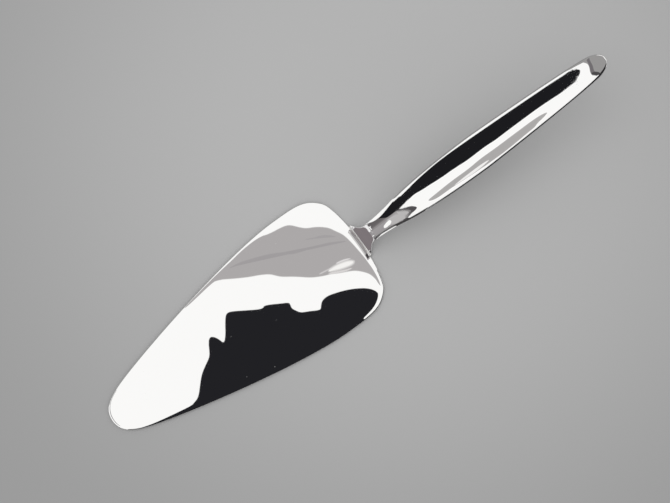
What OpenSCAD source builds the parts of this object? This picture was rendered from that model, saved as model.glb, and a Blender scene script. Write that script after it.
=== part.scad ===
// Cake server with a pressed blade, a forged neck and a hollow handle, lying on its flat blade.
// X runs from the blade's tip to the handle's end, Z is up, and Z = 0 is the underside of the blade.

/* [Blade] */
// Length of the blade from its tip to its rear edge
blade_l = 124.9; // [110:0.1:140]
// Greatest width of the blade
blade_w = 55.1; // [48:0.1:62]
// Thickness of the blade just inside its rim
blade_t = 1.2; // [1:0.05:1.6]
// Extra height of the slightly crowned middle
crown_h = 0.25; // [0:0.05:0.5]
// Thickness left at the very rim
rim_t = 0.75; // [0.6:0.05:0.9]
// Width of the rolled band along the rim
rim_band = 2.2; // [1:0.1:3.5]
// Chamfer between the rim and the flat underside
edge_ease = 0.3; // [0.1:0.05:0.5]

/* [Neck] */
// Width of the fan-shaped foot behind the blade
foot_w = 15.7; // [13:0.1:18]
// Height of the underside of the foot above the table
foot_low = 0.15; // [0.1:0.05:0.3]
// Thickness of the foot
foot_t = 1.3; // [1:0.05:1.6]
// Length of the neck from the front of the foot to the collar, seen from above
neck_run = 4.6; // [4:0.1:7]
// Width of the neck at its waist
waist_w = 7.5; // [6.6:0.1:7.6]
// Thickness of the neck at its waist
waist_t = 3.8; // [3.2:0.1:4.4]
// Height of the middle of the handle's mouth above the table
mouth_z = 8.4; // [7:0.1:10]
// Length of the tang inside the handle
tang_l = 42; // [30:0.5:55]
// Width of the tang where it enters the handle
tang_w = 4.2; // [3.6:0.1:4.6]
// Thickness of the tang where it enters the handle
tang_t = 2.2; // [1.8:0.1:2.6]

/* [Joints] */
// Width of the brazed gap between the blade and the foot
braze_gap = 0.35; // [0.25:0.05:0.6]
// Height of the braze bead above the rim
bead_h = 0.45; // [0.2:0.05:0.7]
// Length of the collar along the neck
collar_l = 1.3; // [1:0.1:2]
// How far the collar stands proud of the handle's mouth
collar_proud = 0.18; // [0.1:0.02:0.4]

/* [Handle] */
// Length of the handle from its mouth to its end
handle_l = 115.3; // [100:0.1:130]
// Greatest width of the handle
handle_w = 15; // [13:0.1:17]
// Width of the handle at its mouth
mouth_w = 7.6; // [6.8:0.1:8]
// Height of the upper half at the mouth
mouth_top = 2.5; // [2.3:0.1:3]
// Height of the upper half at the widest place
mid_top = 3.1; // [2.6:0.1:4]
// Height of the upper half towards the end
tip_top = 2.5; // [2.2:0.1:3.2]
// Depth of the lower half at the mouth
mouth_low = 2.5; // [2.3:0.1:3]
// Depth of the lower half at the widest place
mid_low = 5; // [4:0.1:6]
// Depth of the lower half towards the end
tip_low = 3.2; // [2.6:0.1:4]
// Wall of the pressed halves
wall = 0.8; // [0.5:0.05:1]
// Depth of the lengthways scoop in the top
scoop_d = 0.36; // [0.1:0.02:0.6]
// Radius of the rims beside the scoop
rim_r = 0.8; // [0.6:0.1:1.4]
// Climb of the handle at its mouth, in degrees
rise_start = 12.5; // [9:0.5:16]
// Climb of the handle at its end, in degrees
rise_end = 7; // [4:0.5:11]
// Length of the land between the mouth and the full scoop
land_l = 17; // [12:0.5:24]
// Length of the sloping facet that closes the top at the end
facet_l = 6; // [4:0.5:9]
// Length over which the underside rounds up at the end
keel_l = 13; // [8:0.5:18]

/* [Hidden] */

// Steps of the curves
outline_steps = [7, 12, 9, 8];
roll_steps = 5;
inner_shares = [0.25, 0.5, 0.75];
handle_steps = [6, 9, 10, 9];
rim_steps = 4;
top_steps = 8;
belly_steps = 16;
neck_steps = 20;
tang_steps = 6;

// Blade outline, as shares of its length and of its half width: the joints of its four curves and their handles
tip_reach_share = 0.21;
shoulder_shares = [0.084, 0.38];
shoulder_pull_shares = [0.046, 0.075];
shoulder_push = 2.3;
belly_share = 0.8;
belly_pull_share = 0.19;
belly_push_share = 0.097;
corner_shares = [0.9685, 0.8];
corner_pull_shares = [0.039, 0.2];
corner_push = 0.5;
rear_reach_share = 0.32;
// Stretch of the centre line that the crown falls away from, as shares of the blade's length
ridge_shares = [0.14, 0.86];

// Length of the braze bead, as a share of the foot's width
bead_share = 0.94;

// Neck profile, as shares of its run and of its climb
top_pull_shares = [0.4, 0.5];
low_pull_shares = [0.58, 0.34];
fan_power = 2.3;
foot_power = 6;
waist_power = 2.4;
tang_taper_share = 0.6;

// Handle outline, as shares of its length and of its half width
mouth_pull_share = 0.033;
flare_shares = [0.113, 0.68];
flare_pull_shares = [0.027, 0.076];
flare_push = 2.9;
widest_share = 0.457;
widest_pull_share = 0.134;
widest_push_share = 0.02;
tail_shares = [0.94, 0.63];
tail_pull_shares = [0.11, -0.2];
tail_push = 0.2;
end_reach_share = 0.4;
belly_power = 2.3;
facet_power = 2.2;
// Where the scoop starts and how long it takes to fade at the far end, as shares of the land and of the facet
scoop_start_share = 0.35;
scoop_fade_share = 1.4;
mouth_round_share = 0.92;

half_w = blade_w / 2;
half_grip = handle_w / 2;
foot_x = blade_l + braze_gap;
mouth_dir = [cos(rise_start), sin(rise_start)];
shoulder_mid = [foot_x + neck_run, mouth_z - collar_l * mouth_dir.y];
mouth_mid = shoulder_mid + collar_l * mouth_dir;
end_mid = spine(handle_l);
centre_x = end_mid.x / 2;

function bezier(p, t) =
    p[0] * pow(1 - t, 3) + 3 * p[1] * t * pow(1 - t, 2) + 3 * p[2] * t * t * (1 - t) + p[3] * pow(t, 3);
function bezier_way(p, t) =
    (p[1] - p[0]) * pow(1 - t, 2) + 2 * (p[2] - p[1]) * t * (1 - t) + (p[3] - p[2]) * t * t;
function unit(v) = v / norm(v);
function clamp(x, low, high) = min(max(x, low), high);
function ease(x) = let (t = clamp(x, 0, 1)) t * t * (3 - 2 * t);
function times(a, b) = [a.x * b.x, a.y * b.y];
function bend(x, power) = sign(x) * pow(abs(x), 2 / power);

// Triangles of a skin over rings with the same number of points, each ring counter-clockwise as seen from ahead
function quad(a, b, c, d) = [[a, b, c], [a, c, d]];
function whole(faces, points) = [
    for (f = faces)
        if (points[f[0]] != points[f[1]] && points[f[1]] != points[f[2]] && points[f[2]] != points[f[0]]) f
];
function ladder(first, m) = [
    for (i = [0 : m / 2 - 1])
        each quad(first + i, first + i + 1, first + (m - i - 1) % m, first + (m - i) % m)
];
function turned(faces) = [for (f = faces) [f[2], f[1], f[0]]];
function side_faces(n, m, closed = false) = [
    for (i = [0 : closed ? n - 1 : n - 2], j = [0 : m - 1])
        let (next = (i + 1) % n, a = i * m + j, b = i * m + (j + 1) % m)
            each quad(a, next * m + j, next * m + (j + 1) % m, b)
];

module skin(rings, closed = false) {
    points = [for (r = rings) each r];
    n = len(rings);
    m = len(rings[0]);
    caps = closed ? [] : concat(ladder(0, m), turned(ladder((n - 1) * m, m)));
    polyhedron(points, whole(concat(side_faces(n, m, closed), caps), points), convexity = 8);
}

// Blade

outline_curves = let (
    size = [blade_l, half_w],
    shoulder = times(shoulder_shares, size),
    shoulder_pull = times(shoulder_pull_shares, size),
    belly = [belly_share * blade_l, half_w],
    corner = times(corner_shares, size),
    corner_pull = times(corner_pull_shares, size)
) [
    [[0, 0], [0, tip_reach_share * half_w], shoulder - shoulder_pull, shoulder],
    [shoulder, shoulder + shoulder_push * shoulder_pull, belly - [belly_pull_share * blade_l, 0], belly],
    [belly, belly + [belly_push_share * blade_l, 0], corner + [-corner_pull.x, corner_pull.y], corner],
    [corner, corner + corner_push * [corner_pull.x, -corner_pull.y], [blade_l, rear_reach_share * half_w], [blade_l, 0]]
];
// Points of one half, from the tip to the rear, each with the direction that leads into the blade
half_outline = [
    for (c = [0 : 3], i = [0 : outline_steps[c] - (c < 3 ? 1 : 0)])
        let (t = i / outline_steps[c], way = unit(bezier_way(outline_curves[c], t)))
            [bezier(outline_curves[c], t), [way.y, -way.x]]
];
half_count = len(half_outline);
blade_outline = concat(
    [for (p = half_outline) [[p[0].x, -p[0].y], [p[1].x, -p[1].y]]],
    [for (i = [half_count - 2 : -1 : 1]) half_outline[i]]
);

function crown(p) = crown_h * (1 - pow(p.y / half_w, 2)) * (1 - pow(2 * p.x / blade_l - 1, 2));
function rim_ring(inset, z, lift = 0) = [
    for (p = blade_outline)
        let (q = p[0] + inset * p[1]) [q.x, q.y, z + lift * crown(q)]
];
function roll_ring(k) = let (turn = 90 * k / roll_steps)
    rim_ring(rim_band * (1 - cos(turn)), rim_t + (blade_t - rim_t) * sin(turn), k / roll_steps);
function inner_ring(share) = [
    for (p = blade_outline)
        let (
            edge = p[0] + rim_band * p[1],
            spot = [clamp(edge.x, ridge_shares[0] * blade_l, ridge_shares[1] * blade_l), 0],
            q = edge * (1 - share) + spot * share
        ) [q.x, q.y, blade_t + crown(q)]
];

module blade() {
    color([0.86, 0.87, 0.88])
        skin(concat(
            [rim_ring(edge_ease, 0), rim_ring(0, edge_ease)],
            [for (k = [0 : roll_steps]) roll_ring(k)],
            [for (s = inner_shares) inner_ring(s)]
        ));
}

// Handle

function climb(u) = rise_start + (rise_end - rise_start) * u / handle_l;
function spine(u) = let (mean = (rise_start + climb(u)) / 2) mouth_mid + u * [cos(mean), sin(mean)];
function place(u, p) = let (c = spine(u), a = climb(u)) [c.x - p.y * sin(a), p.x, c.y + p.y * cos(a)];

grip_curves = let (
    size = [handle_l, half_grip],
    mouth = [0, mouth_w / 2],
    flare = times(flare_shares, size),
    flare_pull = times(flare_pull_shares, size),
    widest = [widest_share * handle_l, half_grip],
    tail = times(tail_shares, size),
    tail_pull = times(tail_pull_shares, size)
) [
    [mouth, mouth + [mouth_pull_share * handle_l, 0], flare - flare_pull, flare],
    [flare, flare + flare_push * flare_pull, widest - [widest_pull_share * handle_l, 0], widest],
    [widest, widest + [widest_push_share * handle_l, 0], tail - tail_pull, tail],
    [tail, tail + tail_push * tail_pull, [handle_l, end_reach_share * half_grip], [handle_l, 0]]
];
// Places along the handle, each with the half width there
grip_line = [
    for (c = [0 : 3], i = [0 : handle_steps[c] - (c < 3 ? 1 : 0)])
        bezier(grip_curves[c], i / handle_steps[c])
];
tail_half = tail_shares[1] * half_grip;
widest_u = widest_share * handle_l;

function swell(u, mouth, mid, tip) =
    u < widest_u
        ? mouth + (mid - mouth) * ease(u / widest_u)
        : mid + (tip - mid) * ease((u - widest_u) / (handle_l - widest_u));
function closing(u, length) =
    let (t = clamp((u - handle_l + length) / length, 0, 1)) pow(1 - pow(t, facet_power), 1 / facet_power);
function thinned(half, w) = half > tail_half ? half - w : half * (1 - w / tail_half);
function scoop(u) =
    scoop_d * ease((u / land_l - scoop_start_share) / (1 - scoop_start_share))
        * ease((handle_l - facet_l - u) / (scoop_fade_share * facet_l));
function rim_radius(u, h, half) =
    let (r = rim_r + (mouth_round_share * mouth_top - rim_r) * (1 - ease(u / land_l)))
        min(r, mouth_round_share * h, mouth_round_share * half);

// Half sections: w is what is taken off the outer surface, so w = wall gives the inner one
function top_path(u, half, w) = let (
    a = thinned(half, w),
    shut = closing(u, facet_l),
    h = (swell(u, mouth_top, mid_top, tip_top) - w) * shut,
    r = rim_radius(u, h, a),
    flat = a - r,
    dip = scoop(u)
) concat(
    [[a, 0]],
    [for (i = [0 : rim_steps]) let (t = 90 * i / rim_steps) [flat + r * cos(t), h - r + r * sin(t)]],
    [for (i = [1 : top_steps - 1]) let (s = 1 - 2 * i / top_steps) [flat * s, h - dip * (1 - s * s)]],
    [for (i = [rim_steps : -1 : 0]) let (t = 90 * i / rim_steps) [-flat - r * cos(t), h - r + r * sin(t)]],
    [[-a, 0]]
);
function low_path(u, half, w) = let (
    a = thinned(half, w),
    h = (swell(u, mouth_low, mid_low, tip_low) - w) * closing(u, keel_l)
) [
    for (i = [0 : belly_steps])
        let (t = 180 * i / belly_steps) [-a * cos(t), -h * bend(sin(t), belly_power)]
];
function inner_u(u) = u * (handle_l - wall) / handle_l;
function placed(u, path) = [for (p = path) place(u, p)];
function reversed(list) = [for (i = [len(list) - 1 : -1 : 0]) list[i]];
function joined(top, low) = concat(top, [for (i = [1 : len(low) - 2]) low[i]]);

module handle_upper_shell() {
    color([0.84, 0.85, 0.86])
        skin([
            for (p = grip_line)
                concat(
                    placed(p.x, top_path(p.x, p.y, 0)),
                    reversed(placed(inner_u(p.x), top_path(p.x, p.y, wall)))
                )
        ]);
}

module handle_lower_shell() {
    color([0.8, 0.81, 0.82])
        skin([
            for (p = grip_line)
                concat(
                    placed(p.x, low_path(p.x, p.y, 0)),
                    reversed(placed(inner_u(p.x), low_path(p.x, p.y, wall)))
                )
        ]);
}

// Neck and tang

mouth_ring = joined(top_path(0, mouth_w / 2, wall), low_path(0, mouth_w / 2, wall));
ring_turns = [
    for (p = mouth_ring)
        let (t = atan2(p.y / (p.y < 0 ? mouth_low - wall : mouth_top - wall), p.x / (mouth_w / 2 - wall)))
            t < 0 ? t + 360 : t
];
function oval(half_w, half_t, power) = [
    for (t = ring_turns) [half_w * bend(cos(t), power), half_t * bend(sin(t), power)]
];
function tang_oval(share) = let (k = 1 + (tang_taper_share - 1) * share)
    oval(k * tang_w / 2, k * tang_t / 2, waist_power);
function tang_ring(u) = placed(u, tang_oval(clamp(u / tang_l, 0, 1)));
tang_rings = [for (i = [0 : tang_steps]) tang_ring(tang_l * i / tang_steps)];

shoulder_up = [-mouth_dir.y, mouth_dir.x];
neck_top = let (
    front = [foot_x, foot_low + foot_t],
    back = shoulder_mid + waist_t / 2 * shoulder_up
) [
    front,
    front + [top_pull_shares[0] * neck_run, 0],
    back - top_pull_shares[1] * neck_run * mouth_dir,
    back
];
neck_low = let (
    front = [foot_x, foot_low],
    back = shoulder_mid - waist_t / 2 * shoulder_up
) [
    front,
    front + [low_pull_shares[0] * neck_run, 0],
    back - low_pull_shares[1] * neck_run * mouth_dir,
    back
];
function neck_ring(t) = let (
    top = bezier(neck_top, t),
    low = bezier(neck_low, t),
    mid = (top + low) / 2,
    up = (top - low) / 2,
    half = waist_w / 2 + (foot_w - waist_w) / 2 * pow(1 - t, fan_power),
    power = waist_power + (foot_power - waist_power) * pow(1 - t, 2)
) [
    for (p = oval(half, 1, power)) [mid.x + p.y * up.x, p.x, mid.y + p.y * up.y]
];

module neck() {
    color([0.78, 0.79, 0.8])
        skin(concat(
            [for (i = [0 : neck_steps]) neck_ring(i / neck_steps)],
            [tang_ring(-collar_l)],
            tang_rings
        ));
}

module collar() {
    proud = joined(
        top_path(0, mouth_w / 2, -collar_proud),
        low_path(0, mouth_w / 2, -collar_proud)
    );
    color([0.74, 0.75, 0.76])
        skin([placed(-collar_l, proud), placed(0, proud), tang_ring(0), tang_ring(-collar_l)], closed = true);
}

module handle_filling() {
    color([0.5, 0.47, 0.43])
        skin(concat(
            reversed(tang_rings),
            [
                for (p = grip_line)
                    placed(inner_u(p.x), joined(top_path(p.x, p.y, wall), low_path(p.x, p.y, wall)))
            ]
        ));
}

// Braze

rear_line = [for (p = half_outline) if (p[0].x > belly_share * blade_l) [-p[0].y, p[0].x]];
function rear_x(y) = lookup(-abs(y), rear_line);
braze_half = bead_share * foot_w / 2;
braze_side = concat(
    [-braze_half],
    [for (p = half_outline) if (p[0].x > belly_share * blade_l && p[0].y < braze_half) -p[0].y]
);
braze_places = concat(braze_side, [for (i = [len(braze_side) - 2 : -1 : 0]) -braze_side[i]]);

module foot_braze() {
    color([0.9, 0.9, 0.88])
        skin([
            for (y = braze_places)
                let (x = rear_x(y)) [
                    [(x + foot_x) / 2, y, rim_t + bead_h],
                    [foot_x, y, foot_low + foot_t],
                    [foot_x, y, foot_low],
                    [x, y, edge_ease],
                    [x, y, rim_t],
                    [(3 * x + foot_x) / 4, y, rim_t + bead_h * 3 / 4]
                ]
        ]);
}

// The origin is below the middle of the whole length
module centred() {
    translate([-centre_x, 0, 0]) children();
}

centred() blade();
centred() neck();
centred() foot_braze();
centred() collar();
centred() handle_upper_shell();
centred() handle_lower_shell();
centred() handle_filling();
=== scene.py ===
"""A polished cake server with a pressed blade, a forged neck and a hollow handle, lying on its blade.

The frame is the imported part: metres, X from the blade's tip to the handle's end, Z up, Z = 0 under the blade.
"""

import logging
from collections import Counter
from dataclasses import dataclass, field
from enum import Enum
from math import copysign, cos, pi, radians, sin
from typing import Callable, Sequence

import bpy
from mathutils import Matrix, Vector


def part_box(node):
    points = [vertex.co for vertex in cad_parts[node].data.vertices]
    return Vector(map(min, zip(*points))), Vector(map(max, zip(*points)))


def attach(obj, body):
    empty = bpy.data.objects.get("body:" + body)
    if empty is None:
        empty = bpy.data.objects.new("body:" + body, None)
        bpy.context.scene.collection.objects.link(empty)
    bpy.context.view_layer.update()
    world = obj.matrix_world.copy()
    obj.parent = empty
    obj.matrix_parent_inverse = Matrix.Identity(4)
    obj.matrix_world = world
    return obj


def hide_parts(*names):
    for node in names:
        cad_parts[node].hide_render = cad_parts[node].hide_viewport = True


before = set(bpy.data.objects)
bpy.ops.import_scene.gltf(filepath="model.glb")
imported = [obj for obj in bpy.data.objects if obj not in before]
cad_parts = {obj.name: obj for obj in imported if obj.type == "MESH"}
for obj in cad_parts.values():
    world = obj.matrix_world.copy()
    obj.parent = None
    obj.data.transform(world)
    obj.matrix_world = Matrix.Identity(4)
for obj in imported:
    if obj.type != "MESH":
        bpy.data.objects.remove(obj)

LOG = logging.getLogger("cake_server")
MM = 0.001
MERGE = 0.002 * MM  # points nearer than this are one point
LAYER_STEP = 0.1  # millimetres from one layer of cards to the next
ROUNDINGS = 2  # how often the turns of a many-sided card are cut
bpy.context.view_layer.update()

Ring = list[Vector]
Pair = tuple[float, float]
Colour = tuple[float, float, float]

WHITE: Colour = (1.0, 1.0, 1.0)


# Curves


def ease(x: float) -> float:
    """Returns a smooth step from 0 to 1 as x goes from 0 to 1."""
    t = min(max(x, 0.0), 1.0)
    return t * t * (3 - 2 * t)


def bend(x: float, power: float) -> float:
    """Returns x squared off or rounded off, for the sides of an oval of that power."""
    return copysign(abs(x) ** (2 / power), x)


def bezier(points: Sequence[Vector], t: float) -> Vector:
    """Returns the point of a cubic curve.

    Args:
        points: the curve's two ends and, between them, its two handles.
        t: how far along the curve, from 0 to 1.

    Returns:
        The point there.
    """
    s = 1 - t
    return points[0] * s**3 + points[1] * (3 * s * s * t) + points[2] * (3 * s * t * t) + points[3] * t**3


def bezier_way(points: Sequence[Vector], t: float) -> Vector:
    """Returns the direction of a cubic curve.

    Args:
        points: the curve's two ends and, between them, its two handles.
        t: how far along the curve, from 0 to 1.

    Returns:
        The unit direction there.
    """
    s = 1 - t
    way = (points[1] - points[0]) * (s * s) + (points[2] - points[1]) * (2 * s * t) + (points[3] - points[2]) * (t * t)
    return way.normalized()


def chain(curves: Sequence[Sequence[Vector]], steps: Sequence[int]) -> list[tuple[Vector, Vector]]:
    """Returns points and directions along curves that follow each other.

    Args:
        curves: the cubic curves, each starting where the last one ends.
        steps: how many stretches each curve is cut into.

    Returns:
        Pairs of a point and the direction there.
    """
    spots = []
    for curve, count in zip(curves, steps):
        spots += [(bezier(curve, i / count), bezier_way(curve, i / count)) for i in range(count)]
    spots.append((bezier(curves[-1], 1), bezier_way(curves[-1], 1)))
    return spots


def scaled(shares: Pair, long: float, half: float) -> Vector:
    """Returns a place given as shares of a length and of a half width."""
    return Vector((shares[0] * long, shares[1] * half))


# Meshes


def only(piece: bpy.types.Object) -> None:
    """Selects one object and nothing else."""
    bpy.ops.object.select_all(action="DESELECT")
    piece.select_set(True)
    bpy.context.view_layer.objects.active = piece


def skin(name: str, rings: Sequence[Ring], closed: bool = False) -> bpy.types.Object:
    """Shapes a grid into a skin over rings of points.

    Args:
        name: the piece's name.
        rings: closed rings with the same number of points.
        closed: whether the last ring meets the first, as on a tube bent into a ring.

    Returns:
        The new object, with open ends filled and normals pointing outwards.
    """
    rows = [[*ring, ring[0]] for ring in rings]
    if closed:
        rows.append(rows[0])
    long, wide = len(rows), len(rows[0])
    bpy.ops.object.select_all(action="DESELECT")
    bpy.ops.mesh.primitive_grid_add(x_subdivisions=long - 1, y_subdivisions=wide - 1, size=1)
    piece = bpy.context.object
    piece.name = piece.data.name = name
    for vertex in piece.data.vertices:
        i = round((vertex.co.x + 0.5) * (long - 1))
        j = round((vertex.co.y + 0.5) * (wide - 1))
        vertex.co = rows[i][j]
    only(piece)
    bpy.ops.object.mode_set(mode="EDIT")
    bpy.ops.mesh.select_all(action="SELECT")
    bpy.ops.mesh.remove_doubles(threshold=MERGE)
    bpy.ops.mesh.select_all(action="DESELECT")
    bpy.ops.mesh.select_mode(type="EDGE")
    bpy.ops.mesh.select_non_manifold(
        extend=False, use_wire=False, use_multi_face=False, use_non_contiguous=False, use_verts=False
    )
    bpy.ops.mesh.fill_holes(sides=0)
    bpy.ops.mesh.select_all(action="SELECT")
    bpy.ops.mesh.normals_make_consistent(inside=False)
    bpy.ops.object.mode_set(mode="OBJECT")
    return piece


def shade(piece: bpy.types.Object, degrees: float) -> bpy.types.Object:
    """Shades a piece smooth, apart from the edges that turn by more than that angle, and returns it."""
    only(piece)
    bpy.ops.object.shade_smooth_by_angle(angle=radians(degrees))
    return piece


def fitted(piece: bpy.types.Object, nodes: Sequence[str], material: bpy.types.Material) -> None:
    """Dresses a piece and puts it in place of its nodes.

    Args:
        piece: the piece.
        nodes: the nodes that it stands for.
        material: its finish.
    """
    piece.data.materials.clear()
    piece.data.materials.append(material)
    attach(piece, "root")
    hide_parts(*nodes)
    LOG.info("%s: %d faces for %s", piece.name, len(piece.data.polygons), ", ".join(nodes))


# Finishes


class Wire:
    """A small helper that adds and links the nodes of one tree."""

    def __init__(self, tree: bpy.types.NodeTree) -> None:
        """Keeps the tree and empties it."""
        self.tree = tree
        tree.nodes.clear()

    def node(self, kind: str, values: dict[str, object] | None = None, **settings: object) -> bpy.types.Node:
        """Adds a node.

        Args:
            kind: the node's type.
            values: what its inputs are set or linked to, by name.
            settings: its own properties.

        Returns:
            The node.
        """
        made = self.tree.nodes.new(kind)
        for key, value in settings.items():
            setattr(made, key, value)
        for key, value in (values or {}).items():
            self.feed(made.inputs[int(key)] if key.isdigit() else made.inputs[key], value)
        return made

    def feed(self, socket: bpy.types.NodeSocket, value: object) -> None:
        """Links a socket to a node's output, or sets its value."""
        if isinstance(value, bpy.types.NodeSocket):
            self.tree.links.new(value, socket)
        else:
            socket.default_value = value

    def math(self, operation: str, *values: object, clamp: bool = False) -> bpy.types.NodeSocket:
        """Returns the output of a Math node."""
        made = self.node("ShaderNodeMath", operation=operation, use_clamp=clamp)
        for socket, value in zip(made.inputs, values):
            self.feed(socket, value)
        return made.outputs[0]

    def between(
        self, value: object, low: float, high: float, start: object = 0.0, end: object = 1.0
    ) -> bpy.types.NodeSocket:
        """Returns value mapped smoothly from low..high to start..end."""
        made = self.node(
            "ShaderNodeMapRange",
            {"Value": value, "From Min": low, "From Max": high, "To Min": start, "To Max": end},
            interpolation_type="SMOOTHSTEP",
        )
        return made.outputs[0]


def blank(name: str) -> tuple[bpy.types.Material, Wire]:
    """Returns a new node material of that name and the wire of its empty tree."""
    made = bpy.data.materials.new(name)
    made.use_nodes = True
    return made, Wire(made.node_tree)


@dataclass(frozen=True)
class Marks:
    """The sizes and strengths of the marks on a hand-polished surface."""

    hairs: tuple[Pair, ...] = ((0.5, 14.0), (1.9, 18.0), (2.7, 11.0))
    hair_scale: float = 420.0
    hair_range: Pair = (0.66, 0.74)
    hair_depth: float = 0.004
    hair_rough: float = 0.05
    hair_tint: float = 0.03
    wipe_scale: float = 60.0
    wipe_range: Pair = (0.4, 0.75)
    wipe_rough: float = 0.008
    dust_scale: float = 430.0
    dust_size: Pair = (0.07, 0.03)
    dust_choice: Pair = (0.8, 0.84)
    dust_height: float = 0.05
    dust_rough: float = 0.5
    dust_tint: float = 0.35


def polish_group(mark: Marks) -> bpy.types.NodeTree:
    """Builds the shared marks of a hand-polished surface.

    Args:
        mark: the marks' sizes and strengths.

    Returns:
        A group that gives a roughness, a tint, how bare the metal is and a height.
    """
    tree = bpy.data.node_groups.new("polish_marks", "ShaderNodeTree")
    wire = Wire(tree)
    sockets = {"Roughness": 0.04, "Hairlines": 0.5, "Dust": 0.5, "Wave": 0.3, "Wave Scale": 30.0}
    for name, value in sockets.items():
        tree.interface.new_socket(name, in_out="INPUT", socket_type="NodeSocketFloat").default_value = value
    for name in ("Roughness", "Tint", "Metal", "Height"):
        tree.interface.new_socket(name, in_out="OUTPUT", socket_type="NodeSocketFloat")
    given = wire.node("NodeGroupInput").outputs
    spot = wire.node("ShaderNodeTexCoord").outputs["Object"]

    lines = 0.0
    for turn, stretch in mark.hairs:
        laid = wire.node(
            "ShaderNodeMapping",
            {"Vector": spot, "Rotation": (0.0, 0.0, turn), "Scale": (1.0, stretch, 1.0)},
        ).outputs[0]
        grain = wire.node("ShaderNodeTexNoise", {"Vector": laid, "Scale": mark.hair_scale, "Detail": 2.0}).outputs[0]
        lines = wire.math("ADD", lines, wire.between(grain, *mark.hair_range))
    lines = wire.math("MULTIPLY", lines, given["Hairlines"])

    cloud = wire.node("ShaderNodeTexNoise", {"Vector": spot, "Scale": mark.wipe_scale, "Detail": 4.0}).outputs[0]
    cells = wire.node("ShaderNodeTexVoronoi", {"Vector": spot, "Scale": mark.dust_scale})
    near = wire.between(cells.outputs["Distance"], *mark.dust_size)
    draw = wire.node("ShaderNodeSeparateColor", {"Color": cells.outputs["Color"]}).outputs[0]
    chosen = wire.between(draw, *mark.dust_choice)
    dust = wire.math("MULTIPLY", wire.math("MULTIPLY", near, chosen), given["Dust"])

    wave = wire.node("ShaderNodeTexNoise", {"Vector": spot, "Scale": given["Wave Scale"], "Detail": 1.0}).outputs[0]
    height = wire.math("MULTIPLY", wave, given["Wave"])
    height = wire.math("SUBTRACT", height, wire.math("MULTIPLY", lines, mark.hair_depth))
    height = wire.math("ADD", height, wire.math("MULTIPLY", dust, mark.dust_height))

    rough = wire.math("ADD", given["Roughness"], wire.math("MULTIPLY", lines, mark.hair_rough))
    rough = wire.math("ADD", rough, wire.between(cloud, *mark.wipe_range, 0.0, mark.wipe_rough))
    rough = wire.math("ADD", rough, wire.math("MULTIPLY", dust, mark.dust_rough), clamp=True)
    tint = wire.math("SUBTRACT", 1.0, wire.math("MULTIPLY", dust, mark.dust_tint))
    tint = wire.math("SUBTRACT", tint, wire.math("MULTIPLY", lines, mark.hair_tint))
    metal = wire.math("SUBTRACT", 1.0, dust)
    wire.node("NodeGroupOutput", {"Roughness": rough, "Tint": tint, "Metal": metal, "Height": height})
    return tree


@dataclass(frozen=True)
class Silver:
    """A silver-coloured metal, polished by hand."""

    name: str
    colour: Colour = (0.95, 0.945, 0.935)
    roughness: float = 0.035
    hairlines: float = 0.5
    dust: float = 0.6
    wave: float = 0.25
    wave_scale: float = 28.0
    wave_height: float = 0.05 * MM
    dusty: Colour = (0.42, 0.41, 0.4)

    def material(self, marks: bpy.types.NodeTree) -> bpy.types.Material:
        """Builds the material.

        Args:
            marks: the shared group of polishing marks.

        Returns:
            The material.
        """
        made, wire = blank(self.name)
        group = wire.node("ShaderNodeGroup", node_tree=marks)
        values = {
            "Roughness": self.roughness,
            "Hairlines": self.hairlines,
            "Dust": self.dust,
            "Wave": self.wave,
            "Wave Scale": self.wave_scale,
        }
        for key, value in values.items():
            group.inputs[key].default_value = value
        bump = wire.node(
            "ShaderNodeBump", {"Height": group.outputs["Height"], "Distance": self.wave_height, "Strength": 1.0}
        )
        tinted = wire.node(
            "ShaderNodeMix",
            {"Factor": group.outputs["Tint"], "6": (*self.dusty, 1.0), "7": (*self.colour, 1.0)},
            data_type="RGBA",
        )
        shader = wire.node(
            "ShaderNodeBsdfPrincipled",
            {
                "Base Color": tinted.outputs[2],
                "Metallic": group.outputs["Metal"],
                "Roughness": group.outputs["Roughness"],
                "Normal": bump.outputs[0],
            },
        )
        wire.node("ShaderNodeOutputMaterial", {"Surface": shader.outputs[0]})
        return made


@dataclass(frozen=True)
class Cement:
    """The hard grey-brown cement inside the handle."""

    name: str = "cement"
    dark: Colour = (0.24, 0.21, 0.18)
    light: Colour = (0.42, 0.38, 0.33)
    grain_scale: float = 900.0
    grain_range: Pair = (0.35, 0.65)
    grain_height: float = 0.1 * MM
    roughness: float = 0.9

    def material(self) -> bpy.types.Material:
        """Returns the grainy, matt material."""
        made, wire = blank(self.name)
        spot = wire.node("ShaderNodeTexCoord").outputs["Object"]
        grain = wire.node("ShaderNodeTexNoise", {"Vector": spot, "Scale": self.grain_scale, "Detail": 5.0}).outputs[0]
        mixed = wire.node(
            "ShaderNodeMix",
            {"Factor": wire.between(grain, *self.grain_range), "6": (*self.dark, 1.0), "7": (*self.light, 1.0)},
            data_type="RGBA",
        )
        bump = wire.node("ShaderNodeBump", {"Height": grain, "Distance": self.grain_height})
        shader = wire.node(
            "ShaderNodeBsdfPrincipled",
            {"Base Color": mixed.outputs[2], "Roughness": self.roughness, "Normal": bump.outputs[0]},
        )
        wire.node("ShaderNodeOutputMaterial", {"Surface": shader.outputs[0]})
        return made


# The blade


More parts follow.
